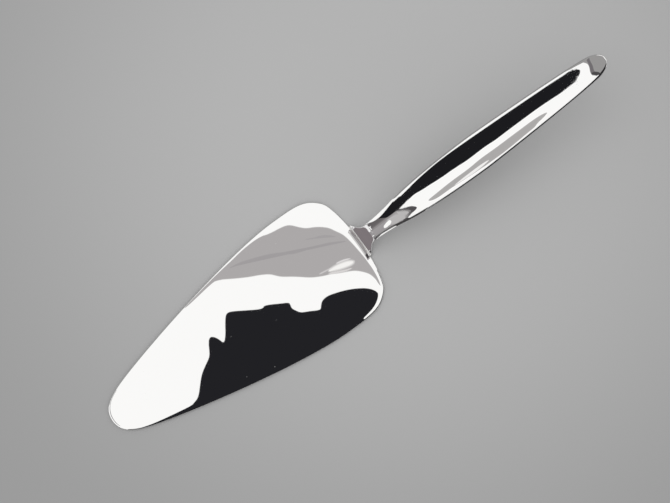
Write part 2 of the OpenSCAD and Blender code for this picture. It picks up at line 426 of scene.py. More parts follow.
@dataclass
class Blade:
    """The pressed blade: a leaf-shaped outline, a rolled rim, a slight crown and a flat underside."""

    length: float = 124.9 * MM
    width: float = 55.1 * MM
    sheet: float = 1.2 * MM
    crown: float = 0.25 * MM
    rim: float = 0.75 * MM
    rim_band: float = 2.2 * MM
    edge_ease: float = 0.3 * MM
    steps: tuple[int, ...] = (22, 60, 30, 26)
    roll_steps: int = 8
    inner_steps: int = 12
    ridge_shares: Pair = (0.14, 0.86)
    shoulder: Pair = (0.084, 0.38)
    shoulder_pull: Pair = (0.046, 0.075)
    shoulder_push: float = 2.3
    tip_reach: float = 0.21
    belly: float = 0.8
    belly_pull: float = 0.19
    belly_push: float = 0.097
    corner: Pair = (0.9685, 0.8)
    corner_turn: Pair = (-0.039, 0.2)
    corner_push: float = 0.5
    rear_reach: float = 0.32
    underside_ease: float = 1.3

    def __post_init__(self) -> None:
        """Puts the blade's tip at the low end of its node."""
        self.tip_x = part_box("blade")[0].x
        self.half = self.width / 2

    def curves(self) -> list[list[Vector]]:
        """Returns the four curves of one half outline, from the tip to the rear."""
        long, half = self.length, self.half
        shoulder, pull = scaled(self.shoulder, long, half), scaled(self.shoulder_pull, long, half)
        belly = Vector((self.belly * long, half))
        corner, turn = scaled(self.corner, long, half), scaled(self.corner_turn, long, half)
        return [
            [Vector((0, 0)), Vector((0, self.tip_reach * half)), shoulder - pull, shoulder],
            [shoulder, shoulder + self.shoulder_push * pull, belly - Vector((self.belly_pull * long, 0)), belly],
            [belly, belly + Vector((self.belly_push * long, 0)), corner + turn, corner],
            [corner, corner - self.corner_push * turn, Vector((long, self.rear_reach * half)), Vector((long, 0))],
        ]

    def outline(self) -> list[tuple[Vector, Vector]]:
        """Returns the outline's points, counter-clockwise from the tip, each with its inward direction."""
        left = [(p, Vector((w.y, -w.x))) for p, w in chain(self.curves(), self.steps)]
        right = [(Vector((p.x, -p.y)), Vector((n.x, -n.y))) for p, n in left]
        return right + left[-2:0:-1]

    def lift(self, p: Vector) -> float:
        """Returns the height of the crown at a place on the blade."""
        along = 2 * p.x / self.length - 1
        return self.crown * (1 - (p.y / self.half) ** 2) * (1 - along**2)

    def ring(self, inset: float, z: float, share: float = 0.0, lifted: float = 0.0) -> Ring:
        """Returns one ring of the blade.

        Args:
            inset: how far it lies inside the outline.
            z: its height without the crown.
            share: how far it is drawn from there towards the blade's centre line.
            lifted: how much of the crown it takes.

        Returns:
            The ring's points.
        """
        low, high = (s * self.length for s in self.ridge_shares)
        points = []
        for p, inward in self.outline():
            edge = p + inset * inward
            spot = Vector((min(max(edge.x, low), high), 0))
            q = edge.lerp(spot, share)
            points.append(Vector((self.tip_x + q.x, q.y, z + lifted * self.lift(q))))
        return points

    def build(self, finish: bpy.types.Material) -> None:
        """Builds and dresses the blade."""
        rings = [self.ring(self.rim_band, 0, 1.0), self.ring(self.rim_band, 0, 0.5), self.ring(self.rim_band, 0)]
        rings += [self.ring(self.edge_ease * self.underside_ease, 0), self.ring(self.edge_ease, 0)]
        rings += [self.ring(0, self.edge_ease), self.ring(0, self.rim)]
        for k in range(1, self.roll_steps + 1):
            turn = pi / 2 * k / self.roll_steps
            rings.append(
                self.ring(
                    self.rim_band * (1 - cos(turn)),
                    self.rim + (self.sheet - self.rim) * sin(turn),
                    lifted=k / self.roll_steps,
                )
            )
        for k in range(1, self.inner_steps + 1):
            rings.append(self.ring(self.rim_band, self.sheet, k / self.inner_steps, 1.0))
        piece = shade(skin("blade_pressed", rings), 40)
        fitted(piece, ["blade"], finish)


# The handle


@dataclass
class Handle:
    """The hollow handle of two pressed halves, with a lengthways scoop between two rims."""

    length: float = 115.3 * MM
    width: float = 15.0 * MM
    mouth_width: float = 7.6 * MM
    mouth_top: float = 2.5 * MM
    mid_top: float = 3.1 * MM
    tip_top: float = 2.5 * MM
    mouth_low: float = 2.5 * MM
    mid_low: float = 5.0 * MM
    tip_low: float = 3.2 * MM
    wall: float = 0.8 * MM
    scoop: float = 0.36 * MM
    rim: float = 0.8 * MM
    rise_start: float = radians(12.5)
    rise_end: float = radians(7)
    land: float = 17.0 * MM
    facet: float = 6.0 * MM
    keel: float = 13.0 * MM
    mouth_x: float = 131.119 * MM
    mouth_z: float = 8.4 * MM
    steps: tuple[int, ...] = (24, 34, 36, 34)
    rim_steps: int = 6
    top_steps: int = 24
    belly_steps: int = 40
    mouth_pull: float = 0.033
    flare: Pair = (0.113, 0.68)
    flare_pull: Pair = (0.027, 0.076)
    flare_push: float = 2.9
    widest: float = 0.457
    widest_pull: float = 0.134
    widest_push: float = 0.02
    tail: Pair = (0.94, 0.63)
    tail_draw: Pair = (0.11, -0.2)
    tail_push: float = 0.2
    end_reach: float = 0.4
    end_power: float = 2.2
    belly_power: float = 2.3
    scoop_start: float = 0.35
    scoop_fade: float = 1.4
    round_share: float = 0.92
    line: list[Vector] = field(default_factory=list)

    def __post_init__(self) -> None:
        """Places the mouth in the frame and cuts the outline into places along the handle."""
        self.mouth = Vector((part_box("blade")[0].x + self.mouth_x, self.mouth_z))
        self.half = self.width / 2
        self.tail_half = self.tail[1] * self.half
        self.line = [p for p, _ in chain(self.curves(), self.steps)]

    def curves(self) -> list[list[Vector]]:
        """Returns the four curves of the half width along the handle, from the mouth to the end."""
        long, half = self.length, self.half
        mouth = Vector((0, self.mouth_width / 2))
        flare, pull = scaled(self.flare, long, half), scaled(self.flare_pull, long, half)
        widest = Vector((self.widest * long, half))
        tail, draw = scaled(self.tail, long, half), scaled(self.tail_draw, long, half)
        return [
            [mouth, mouth + Vector((self.mouth_pull * long, 0)), flare - pull, flare],
            [flare, flare + self.flare_push * pull, widest - Vector((self.widest_pull * long, 0)), widest],
            [widest, widest + Vector((self.widest_push * long, 0)), tail - draw, tail],
            [tail, tail + self.tail_push * draw, Vector((long, self.end_reach * half)), Vector((long, 0))],
        ]

    def climb(self, u: float) -> float:
        """Returns the handle's climb at a place along it, in radians."""
        return self.rise_start + (self.rise_end - self.rise_start) * u / self.length

    def place(self, u: float, p: Pair) -> Vector:
        """Returns where a point of a cross-section lies.

        Args:
            u: the section's place along the handle.
            p: the point's sideways place and height in the section.

        Returns:
            The point in the frame.
        """
        mean = (self.rise_start + self.climb(u)) / 2
        turn = self.climb(u)
        mid = self.mouth + u * Vector((cos(mean), sin(mean)))
        return Vector((mid.x - p[1] * sin(turn), p[0], mid.y + p[1] * cos(turn)))

    def swell(self, u: float, mouth: float, mid: float, tip: float) -> float:
        """Returns a height that grows from the mouth to the widest place and shrinks towards the end."""
        widest = self.widest * self.length
        if u < widest:
            return mouth + (mid - mouth) * ease(u / widest)
        return mid + (tip - mid) * ease((u - widest) / (self.length - widest))

    def closing(self, u: float, length: float) -> float:
        """Returns how open the section still is where the end closes over that length."""
        t = min(max((u - self.length + length) / length, 0.0), 1.0)
        return (1 - t**self.end_power) ** (1 / self.end_power)

    def thinned(self, half: float, off: float) -> float:
        """Returns a half width with some taken off, in step with the end's taper."""
        return half - off if half > self.tail_half else half * (1 - off / self.tail_half)

    def dip(self, u: float) -> float:
        """Returns the scoop's depth at a place along the handle."""
        start = ease((u / self.land - self.scoop_start) / (1 - self.scoop_start))
        fade = ease((self.length - self.facet - u) / (self.scoop_fade * self.facet))
        return self.scoop * start * fade

    def top_path(self, u: float, half: float, off: float) -> list[Pair]:
        """Returns the upper half's section, from its left edge over the top to its right edge.

        Args:
            u: the section's place along the handle.
            half: the half width there.
            off: what is taken off the outer surface.

        Returns:
            Pairs of a sideways place and a height.
        """
        a = self.thinned(half, off)
        h = (self.swell(u, self.mouth_top, self.mid_top, self.tip_top) - off) * self.closing(u, self.facet)
        r = self.rim + (self.round_share * self.mouth_top - self.rim) * (1 - ease(u / self.land))
        r = min(r, self.round_share * h, self.round_share * a)
        flat, dip = a - r, self.dip(u)
        turns = [pi / 2 * i / self.rim_steps for i in range(self.rim_steps + 1)]
        side = [(a, 0.0), (a, 0.5 * (h - r))] + [(flat + r * cos(t), h - r + r * sin(t)) for t in turns]
        spans = [1 - 2 * i / self.top_steps for i in range(1, self.top_steps)]
        middle = [(flat * s, h - dip * (1 - s * s)) for s in spans]
        return side + middle + [(-y, z) for y, z in reversed(side)]

    def low_path(self, u: float, half: float, off: float) -> list[Pair]:
        """Returns the lower half's section, from its right edge under the belly to its left edge.

        Args:
            u: the section's place along the handle.
            half: the half width there.
            off: what is taken off the outer surface.

        Returns:
            Pairs of a sideways place and a height.
        """
        a = self.thinned(half, off)
        h = (self.swell(u, self.mouth_low, self.mid_low, self.tip_low) - off) * self.closing(u, self.keel)
        turns = [pi * i / self.belly_steps for i in range(self.belly_steps + 1)]
        return [(-a * cos(t), -h * bend(sin(t), self.belly_power)) for t in turns]

    def placed(self, u: float, path: Sequence[Pair]) -> Ring:
        """Returns the points of a section in the frame."""
        return [self.place(u, p) for p in path]

    def shell(self, name: str, path: Callable[[float, float, float], list[Pair]]) -> bpy.types.Object:
        """Builds one half of the handle, with its wall.

        Args:
            name: the piece's name.
            path: what gives the half's section.

        Returns:
            The new object.
        """
        rings = []
        for p in self.line:
            inner = p.x * (self.length - self.wall) / self.length
            rings.append(self.placed(p.x, path(p.x, p.y, 0.0)) + self.placed(inner, path(p.x, p.y, self.wall))[::-1])
        return shade(skin(name, rings), 35)

    def build(self, finish: bpy.types.Material, filling: bpy.types.Material) -> None:
        """Builds and dresses the two halves and the filling."""
        fitted(self.shell("handle_top_half", self.top_path), ["handle_upper_shell"], finish)
        fitted(self.shell("handle_bottom_half", self.low_path), ["handle_lower_shell"], finish)
        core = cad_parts["handle_filling"]
        core.data.materials.clear()
        core.data.materials.append(filling)


# The neck


@dataclass
class Neck:
    """The forged neck with its foot and tang, the braze in front of it and the collar behind it."""

    foot_width: float = 15.7 * MM
    foot_low: float = 0.15 * MM
    foot_sheet: float = 1.3 * MM
    run: float = 4.6 * MM
    waist_width: float = 7.5 * MM
    waist_sheet: float = 3.8 * MM
    gap: float = 0.35 * MM
    bead: float = 0.45 * MM
    collar: float = 1.3 * MM
    proud: float = 0.18 * MM
    tang: Pair = (4.2 * MM, 2.2 * MM)
    tang_length: float = 42 * MM
    steps: int = 48
    turns: int = 64
    fan_power: float = 2.3
    oval_power: float = 2.4
    foot_power: float = 6.0
    upper_pulls: Pair = (0.4, 0.5)
    lower_pulls: Pair = (0.58, 0.34)
    tang_taper: float = 0.6
    collar_ease: float = 0.12
    bead_share: float = 0.94
    bead_steps: int = 40
    rear_share: float = 0.8

    def oval(self, half: float, high: float, power: float) -> list[Pair]:
        """Returns an oval section of that half width and half height."""
        spots = [2 * pi * i / self.turns for i in range(self.turns)]
        return [(half * bend(cos(t), power), high * bend(sin(t), power)) for t in spots]

    def profile(self, handle: Handle, blade: Blade) -> tuple[list[Vector], list[Vector]]:
        """Returns the curves of the neck's upper and lower side, seen from the side."""
        way = Vector((cos(handle.rise_start), sin(handle.rise_start)))
        up = Vector((-way.y, way.x))
        back = handle.mouth - self.collar * way
        foot = blade.tip_x + blade.length + self.gap
        front_top, front_low = Vector((foot, self.foot_low + self.foot_sheet)), Vector((foot, self.foot_low))
        back_top, back_low = back + self.waist_sheet / 2 * up, back - self.waist_sheet / 2 * up
        run = Vector((self.run, 0))
        (top_out, top_in), (low_out, low_in) = self.upper_pulls, self.lower_pulls
        top = [front_top, front_top + top_out * run, back_top - top_in * self.run * way, back_top]
        low = [front_low, front_low + low_out * run, back_low - low_in * self.run * way, back_low]
        return top, low

    def forging(self, handle: Handle, blade: Blade) -> bpy.types.Object:
        """Builds the neck from its foot to the end of its tang."""
        top, low = self.profile(handle, blade)
        rings = []
        for i in range(self.steps + 1):
            t = i / self.steps
            high, deep = bezier(top, t), bezier(low, t)
            mid, up = (high + deep) / 2, (high - deep) / 2
            half = self.waist_width / 2 + (self.foot_width - self.waist_width) / 2 * (1 - t) ** self.fan_power
            power = self.oval_power + (self.foot_power - self.oval_power) * (1 - t) ** 2
            rings.append([Vector((mid.x + z * up.x, y, mid.y + z * up.y)) for y, z in self.oval(half, 1.0, power)])
        for u, k in ((-self.collar, 1.0), (0.0, 1.0), (self.tang_length, self.tang_taper)):
            rings.append(handle.placed(u, self.oval(k * self.tang[0] / 2, k * self.tang[1] / 2, self.oval_power)))
        return shade(skin("neck_forging", rings), 50)

    def ring(self, handle: Handle) -> bpy.types.Object:
        """Builds the collar between the neck and the handle's mouth."""
        a = handle.mouth_width / 2 + self.proud
        h = handle.mouth_top + self.proud
        soft = self.collar_ease * self.collar
        places = [(-self.collar, 1.0), (0.3 * soft - self.collar, 0.3), (soft - self.collar, 0.0)]
        places += [(1.2 * soft - self.collar, 0.0), (-1.2 * soft, 0.0), (-soft, 0.0), (-0.3 * soft, 0.3), (0.0, 1.0)]
        rings = [handle.placed(u, self.oval(a - k * soft, h - k * soft, self.oval_power)) for u, k in places]
        bore = self.oval(self.tang[0] / 2, self.tang[1] / 2, self.oval_power)
        rings += [handle.placed(0.0, bore), handle.placed(-self.collar, bore)]
        return shade(skin("collar_ring", rings, closed=True), 30)

    def braze(self, blade: Blade) -> bpy.types.Object:
        """Builds the bead of braze between the blade's rear edge and the foot."""
        half = self.bead_share * self.foot_width / 2
        foot = blade.tip_x + blade.length + self.gap
        side = [p for p, _ in chain(blade.curves(), blade.steps)]
        rear = [(p.y, blade.tip_x + p.x) for p in side if p.x > self.rear_share * blade.length]
        rings = []
        for i in range(self.bead_steps + 1):
            y = half * (2 * i / self.bead_steps - 1)
            x = next(
                x0 + (x1 - x0) * (abs(y) - y0) / (y1 - y0)
                for (y0, x0), (y1, x1) in zip(rear[:0:-1], rear[-2::-1])
                if y0 <= abs(y) <= y1
            )
            rings.append(
                [
                    Vector((x + 0.5 * (foot - x), y, blade.rim + self.bead)),
                    Vector((x + 0.8 * (foot - x), y, blade.rim + 1.2 * self.bead)),
                    Vector((foot, y, self.foot_low + 0.9 * self.foot_sheet)),
                    Vector((foot, y, self.foot_low)),
                    Vector((x, y, blade.edge_ease)),
                    Vector((x, y, blade.rim)),
                    Vector((x + 0.2 * (foot - x), y, blade.rim + 0.6 * self.bead)),
                ]
            )
        return shade(skin("foot_bead", rings), 60)

    def build(self, handle: Handle, blade: Blade, finish: bpy.types.Material, bead: bpy.types.Material) -> None:
        """Builds and dresses the neck, the collar and the braze."""
        fitted(self.forging(handle, blade), ["neck"], finish)
        fitted(self.ring(handle), ["collar"], finish)
        fitted(self.braze(blade), ["foot_braze"], bead)


# The studio


class Plane(Enum):
    """The planes that the cards hang in: a starting place in millimetres and the ways of their two axes."""

    OVER_BLADE = ((0, 0, 15), (1, 0, 0), (0, 1, 0))
    OVER_HANDLE = ((5.711, 0, 26.042), (0.9856, 0, 0.1693), (0, 1, 0))
    BEFORE_NECK = ((2.95, 0, 0), (0, 1, 0), (0, 0, 1))
    BESIDE_NECK = ((0, -12, 0), (1, 0, 0), (0, 0, 1))
    FRONT_OF_MOUTH = ((0, -8.6, 0), (1, 0, 0), (0, 0, 1))
    BACK_OF_MOUTH = ((0, 8.6, 0), (1, 0, 0), (0, 0, 1))
    NEAR_FLOOR = ((0, 0, 0.4), (1, 0, 0), (0, 1, 0))
    FRONT = ((0, -200, 0), (1, 0, 0), (0, 0, 1))
    BACK = ((0, 200, 0), (1, 0, 0), (0, 0, 1))

    def spot(self, a: float, b: float, layer: int) -> Vector:
        """Returns a card's corner in the frame, a step nearer to the part for each layer."""
        start, along, across = (Vector(v) for v in self.value)
        return (start + a * along + b * across - LAYER_STEP * layer * along.cross(across)) * MM


def oblong(a0: float, b0: float, a1: float, b1: float) -> list[Pair]:
    """Returns the four corners of an oblong card."""
    return [(a0, b0), (a1, b0), (a1, b1), (a0, b1)]


class Card(Enum):
    """The cards: the plane, the layer, the soft edge in millimetres, the colour and the corners in millimetres."""

    # What the blade's crown mirrors.
    BLADE_DARK = (Plane.OVER_BLADE, 1, 0.18, (0.016, 0.016, 0.019), [
        (-95.32, -15.35), (-91.87, -13.37), (-89.43, -12.22), (-86.77, -9.33), (-83.94, -6.35), (-81.55, -4.55),
        (-78.4, -2.81), (-76.12, -1.44), (-74.58, 1), (-73.35, 3.15), (-72.03, 4.72), (-70.73, 4.99), (-69.43, 3.72),
        (-68.55, 1.84), (-67.92, -0.66), (-65.24, 2.26), (-62.98, 5.7), (-60.71, 8.62), (-59.1, 9.18), (-56.97, 8.21),
        (-52.82, 5.55), (-48.67, 2.89), (-46.27, 1.74), (-45.2, 2.38), (-42.43, 1.05), (-39.26, -0.88),
        (-35.81, -2.81), (-35.91, -4.07), (-36.38, -5.56), (-35.2, -7.86), (-34.22, -9.3), (-31.25, -10.77),
        (-28.43, -12.43), (-26.87, -13.07), (-25.69, -11.58), (-24.08, -10.31), (-21.19, -10.08), (-17.45, -11.19),
        (-13.48, -12.66), (-9.8, -14.52), (-6.42, -16.78), (-4.42, -18.84), (-3.23, -21.08), (-3.18, -23.18),
        (-5.01, -25.44), (-8.33, -27.92), (-12.18, -29.54), (-15.1, -30.94), (-12, -45), (-6, -90), (-150, -90),
        (-150, -45), (-130, -22), (-120, -18.5), (-112, -16.5), (-106, -15.6), (-99.5, -15.4),
    ])
    BLADE_GREY = (Plane.OVER_BLADE, 1, 0.35, (0.43, 0.415, 0.42), [
        (-76.1, 31.66), (-69.39, 31.32), (-61.9, 31.02), (-56.7, 31.12), (-51.79, 30.72), (-46.01, 30.12),
        (-41.41, 31.12), (-36.88, 30.92), (-31.55, 29.41), (-27.85, 26.81), (-24.37, 25.82), (-20.67, 25.22),
        (-17.65, 24.41), (-15.92, 23.19), (-14.01, 20.78), (-11.73, 18.4), (-8.34, 16.7), (-5.42, 14.49),
        (-3.5, 12.47), (-2.29, 10.06), (-0.79, 7.55), (-0.08, 5.03), (0.22, 3.32), (0.52, 1.62), (0.72, -0.09),
        (0.92, -1.79), (1.12, -3.49), (1.27, -5.19), (1.47, -6.88), (1.72, -8.58), (2.12, -10.27), (2.52, -12.08),
        (2.82, -13.99), (2.92, -15.8), (2.92, -17.7), (2.82, -19.72), (2.22, -21.72), (-0.31, -18.65),
        (-0.77, -15.53), (-1.71, -13.06), (-3.19, -10.98), (-5.47, -8.6), (-8.35, -7.01), (-11.35, -5.71),
        (-14.55, -3.81), (-18.05, -2.41), (-22.47, 0), (-27.47, 4.31), (-32.18, 7.61), (-33.89, 9.52),
        (-35.48, 11.51), (-38.96, 13.69), (-42.75, 15.49), (-46.36, 17.5), (-50.56, 20.1), (-53.36, 21.9),
        (-55.75, 23.39), (-58.92, 24.48), (-63.61, 24.68), (-68.22, 24.98), (-73.07, 26.1),
    ])
    BLADE_STREAK = (Plane.OVER_BLADE, 2, 0.42, (0.37, 0.355, 0.365), [
        (-47.68, 24.72), (-43.07, 23.65), (-38.13, 21.93), (-33.34, 20.12), (-28.75, 18.05), (-24.86, 15.69),
        (-22.78, 13.64), (-19.65, 12.35), (-16.32, 11.33), (-12.29, 9.9), (-7.58, 7.98), (-3.97, 5.95), (-1.22, 4.15),
        (-1.61, 3.62), (-4.46, 5.29), (-8.06, 7.31), (-12.77, 9.23), (-16.9, 10.54), (-20.22, 11.55), (-23.35, 12.84),
        (-25.48, 14.82), (-29.32, 17.25), (-33.96, 19.25), (-38.65, 21.19), (-43.63, 22.73), (-47.86, 24.01),
    ])
    BLADE_WISP = (Plane.OVER_BLADE, 2, 0.2, (0.385, 0.37, 0.38), [
        (-14.69, 15.02), (-11.84, 13.33), (-8.51, 12.31), (-5.75, 10.5), (-3.48, 8.03), (-3.77, 7.63), (-6.14, 9.97),
        (-8.94, 11.71), (-12.22, 12.8), (-14.89, 14.46),
    ])
    BLADE_GLINT = (Plane.OVER_BLADE, 3, 1.15, (0.95, 0.94, 0.93), [
        (-11.49, -1.01), (-8.42, -1.59), (-5.01, -2.62), (-2.82, -4.53), (-3.51, -5.92), (-5.32, -6.23),
        (-8.19, -5.62), (-11.32, -4.57), (-14.42, -3.14), (-15.52, -1.88), (-13.82, -1.02),
    ])
    GLINT_STREAK = (Plane.OVER_BLADE, 3, 0.4, (0.72, 0.7, 0.7), [
        (-14.77, -2.49), (-12.01, -3.67), (-8.76, -5.43), (-5.95, -6.26), (-5.86, -7.15), (-9.03, -6.61),
        (-12.83, -4.86), (-16.17, -2.94),
    ])
    GLINT_WISP = (Plane.OVER_BLADE, 2, 0.25, (0.62, 0.6, 0.61), [
        (-18.61, -0.27), (-15.42, -0.76), (-12.77, -1.27), (-12.95, -1.94), (-15.76, -1.63), (-18.89, -1.08),
    ])
    GLINT_TOP = (Plane.OVER_BLADE, 2, 0.25, (0.75, 0.73, 0.74), [
        (-10.31, -0.81), (-6.82, -1.42), (-3.9, -2.83), (-4.11, -3.39), (-7.15, -2.3), (-10.49, -1.6),
    ])
    TIP_LINE = (Plane.OVER_BLADE, 1, 0.4, (0.2, 0.195, 0.2), [
        (-119, 17), (-123, 15.4), (-126.6, 10.6), (-128.6, 4.5), (-129.4, -1), (-128.6, -6), (-131.4, -6.6),
        (-132.6, -1), (-131.8, 5.2), (-129.4, 12), (-125, 17.8), (-119.6, 20),
    ])
    REAR_WHITE = (Plane.OVER_BLADE, 0, 0.1, WHITE, oblong(-7, -10.5, 2.9, 10.5))

    # What the handle's scoop and its near rim mirror.
    HANDLE_BAND = (Plane.OVER_HANDLE, 4, 0.03, (0.012, 0.012, 0.014), [
        (2.79, 2.72), (3.89, 2.2), (5.09, 1.472), (6.2, 1.132), (7.3, 1.012), (8.3, 0.912), (9.2, 0.842),
        (10.1, 0.792), (10.9, 0.762), (11.6, 0.722), (12.3, 0.722), (12.9, 0.722), (13.5, 0.742), (14, 0.772),
        (14.6, 0.812), (15.4, 0.882), (16.2, 0.952), (17.1, 1.002), (18.3, 1.072), (19.6, 1.172), (21.3, 1.222),
        (23, 1.162), (25.5, 1.112), (28, 1.092), (30.6, 0.992), (33.1, 0.922), (35.7, 0.872), (38.2, 0.852),
        (40.8, 0.792), (43.3, 0.702), (45.9, 0.592), (49.3, 0.562), (53.6, 0.622), (56.1, 0.632), (58.6, 0.572),
        (61.1, 0.462), (63.6, 0.472), (67.8, 0.522), (72, 0.542), (76.1, 0.552), (81.1, 0.572), (86, 0.542),
        (90.9, 0.502), (93.4, 0.482), (95.8, 0.502), (97.9, 0.552), (99.5, 0.582), (101.1, 0.612), (102.7, 0.642),
        (103.2, 0.662), (103.8, 0.692), (104.2, 0.772), (104.5, 0.862), (104.91, 1.012), (105.11, 1.132),
        (105.31, 1.232), (105.31, 1.345), (104.9, 1.225), (104.3, 1.065), (103.7, 0.925), (102.6, 0.935),
        (100.5, 1.125), (98.1, 1.405), (95.7, 1.665), (93.2, 1.92), (90.8, 2.13), (88.4, 2.32), (83.5, 2.7),
        (78.5, 3.04), (73.6, 3.34), (68.6, 3.62), (63.6, 3.86), (58.6, 4.15), (53.6, 4.54), (48.6, 5.38),
        (43.5, 6.39), (38.4, 6.94), (35.8, 7.08), (33.3, 6.77), (30.7, 6.26), (28.2, 5.54), (25.69, 4.92),
        (23.29, 3.36), (21.6, 2.61), (19.9, 2.36), (18.3, 2.08), (16.7, 1.78), (15.1, 1.45), (13.61, 1.44),
        (12.71, 2.49), (11.7, 3.23), (11.3, 4.9), (11.2, 8.6), (11.2, 12), (1, 12), (1, 8.6), (1.6, 5),
    ])
    HANDLE_LENS = (Plane.OVER_HANDLE, 1, 0.05, (0.43, 0.42, 0.42), [
        (22.9, -0.73), (28.2, -0.93), (36.8, -0.99), (44.9, -1.2), (51.7, -0.95), (57.8, -0.97), (61.9, -0.93),
        (72.2, -0.7), (80.4, -0.47), (86.3, -0.56), (84, -0.99), (78.6, -1.48), (69.7, -3.6), (63.3, -4.6),
        (59.2, -4.4), (53.2, -3), (46, -2.83), (39, -2.44), (35.1, -2.15), (28.9, -1.88), (25.1, -1.4),
    ])
    LENS_STREAK = (Plane.OVER_HANDLE, 2, 0.03, (0.9, 0.89, 0.89), [
        (35.4, -2.13), (39.6, -2.04), (46, -2.08), (51.2, -2.12), (55.4, -2.38), (51.4, -2.77), (45.1, -2.75),
        (40.1, -2.47),
    ])

    # What the handle's mouth and the collar mirror, from above and from both sides.
    MOUTH_ARCH = (Plane.OVER_HANDLE, -2, 0.03, (0.085, 0.08, 0.085), [
        (11.2, 0.84), (12.2, 0.78), (12.7, 0.74), (12.9, 0.72), (13.6, 0.69), (14.4, 0.63), (15.3, 0.54),
        (16.2, 0.42), (16.8, 0.29), (17.3, 0.16), (17.7, 0.03), (18.01, -0.1), (17.9, -0.2), (17.3, -0.19),
        (16.3, -0.08), (15.2, 0.11), (14.1, 0.3), (13.3, 0.39), (12.96, 0.19), (12.91, -1.5), (12.41, -5),
        (12.21, -9.01), (6.99, -9.01), (5.99, -1), (9, 1.01),
    ])
    ARCH_FADE = (Plane.OVER_HANDLE, -1, 0.08, (0.255, 0.245, 0.25), [
        (11.2, 0.8), (11.9, 0.75), (12.3, 0.71), (13, 0.68), (13.6, 0.64), (13.9, 0.59), (14.4, 0.52), (14.7, 0.44),
        (15, 0.35), (15.2, 0.27), (15.2, 0.21), (14.7, 0.24), (13.5, 0.39), (12, 0.2), (11.2, -1.2), (10.2, -3),
        (9.3, -5.4), (8.7, -9), (5, -9), (6, -1), (9, 0.9),
    ])
    MOUTH_LAND = (Plane.OVER_HANDLE, 0, 0.08, (0.5, 0.49, 0.495), [
        (11.2, 0.77), (11.9, 0.71), (12.7, 0.67), (13.2, 0.64), (13.6, 0.59), (13.8, 0.54), (14, 0.49), (14.2, 0.43),
        (14.3, 0.38), (14.2, 0.34), (13.7, 0.36), (12.8, 0.39), (12, 0.25), (11.5, -0.6), (10.2, -2.2), (8.7, -3.1),
        (7.6, -4.4), (7, -9), (-5.4, -9), (-5.4, 9), (1, 9), (2.5, 2.9), (3.8, 2.4), (5.1, 1.7), (6.2, 1.3),
        (7.8, 1.15), (9.4, 1),
    ])
    MOUTH_DIM = (Plane.OVER_HANDLE, 2, 0.35, (0.28, 0.265, 0.27), oblong(-3.2, 0.5, 11.3, 9))
    MOUTH_MIDDLE = (Plane.OVER_HANDLE, 1, 1.8, (0.35, 0.335, 0.345), oblong(-6, -10, 6, 10))
    MOUTH_SHADE = (Plane.OVER_HANDLE, 3, 0.9, (0.135, 0.125, 0.13), oblong(-3.2, 1, 5.6, 9))
    MOUTH_BLOB = (Plane.OVER_HANDLE, 3, 0.04, WHITE, [
        (0.9, -6.4), (1.7, -0.85), (2.4, -0.5), (3.9, -0.15), (5.7, 0.17), (6.8, 0.16), (6.8, -0.35), (5.6, -0.95),
        (3.9, -1.9), (1.9, -6.4),
    ])
    NECK_SKY = (Plane.OVER_HANDLE, 3, 0.1, (0.235, 0.208, 0.22), oblong(-5.6, -9, -4.5, 9))
    COLLAR_WHITE = (Plane.OVER_HANDLE, 4, 0.05, WHITE, oblong(-4.5, 1.1, -2.7, 9))
    COLLAR_BACK = (Plane.BACK_OF_MOUTH, 2, 0.1, WHITE, [
        (0.4, 27), (2, 27), (3.3, 23), (4.85, 18.3), (6.1, 14.8), (6.95, 12), (7.6, 9), (5.2, 9), (4.6, 12),
        (3.9, 15), (3, 18.4), (1.4, 23),
    ])
    MOUTH_BACK = (Plane.BACK_OF_MOUTH, 0, 0.2, (0.13, 0.12, 0.125), [
        (7.3, 9.3), (6.6, 12), (5.8, 14.8), (4.7, 18.3), (3.1, 23), (1.8, 27), (8.4, 27), (8.8, 22), (10.1, 17.6),
        (11.6, 13.3), (10.8, 9.3),
    ])
    BAND_BACK = (Plane.BACK_OF_MOUTH, 1, 0.15, (0.012, 0.012, 0.014), [
        (11.3, 13.6), (9.9, 17.6), (8.6, 22), (7.4, 27), (17, 27.6), (16.6, 24), (16.8, 17.5), (15.7, 13.7),
        (13.3, 13.9),
    ])
    BACK_WHITE = (Plane.BACK_OF_MOUTH, -2, 0.1, WHITE, oblong(8.6, 0.5, 22, 28))
    MOUTH_FRONT = (Plane.FRONT_OF_MOUTH, 0, 0.2, (0.33, 0.32, 0.325), [(5.9, 12.6), (19, 12.6), (19, 27), (2, 27)])
    MOUTH_LINE = (Plane.FRONT_OF_MOUTH, 1, 0.3, (0.05, 0.048, 0.05), [
        (7.2, 12.2), (8.6, 12.4), (10.5, 12.8), (12.4, 13.6), (14.2, 14.2), (15.4, 12), (16.4, 9), (17.5, 4), (30, 4),
        (30, 28), (17.5, 28), (15.2, 24), (13.2, 20.5), (12, 18.6), (10.9, 15.5), (9.2, 13.6), (7, 12.8),
    ])

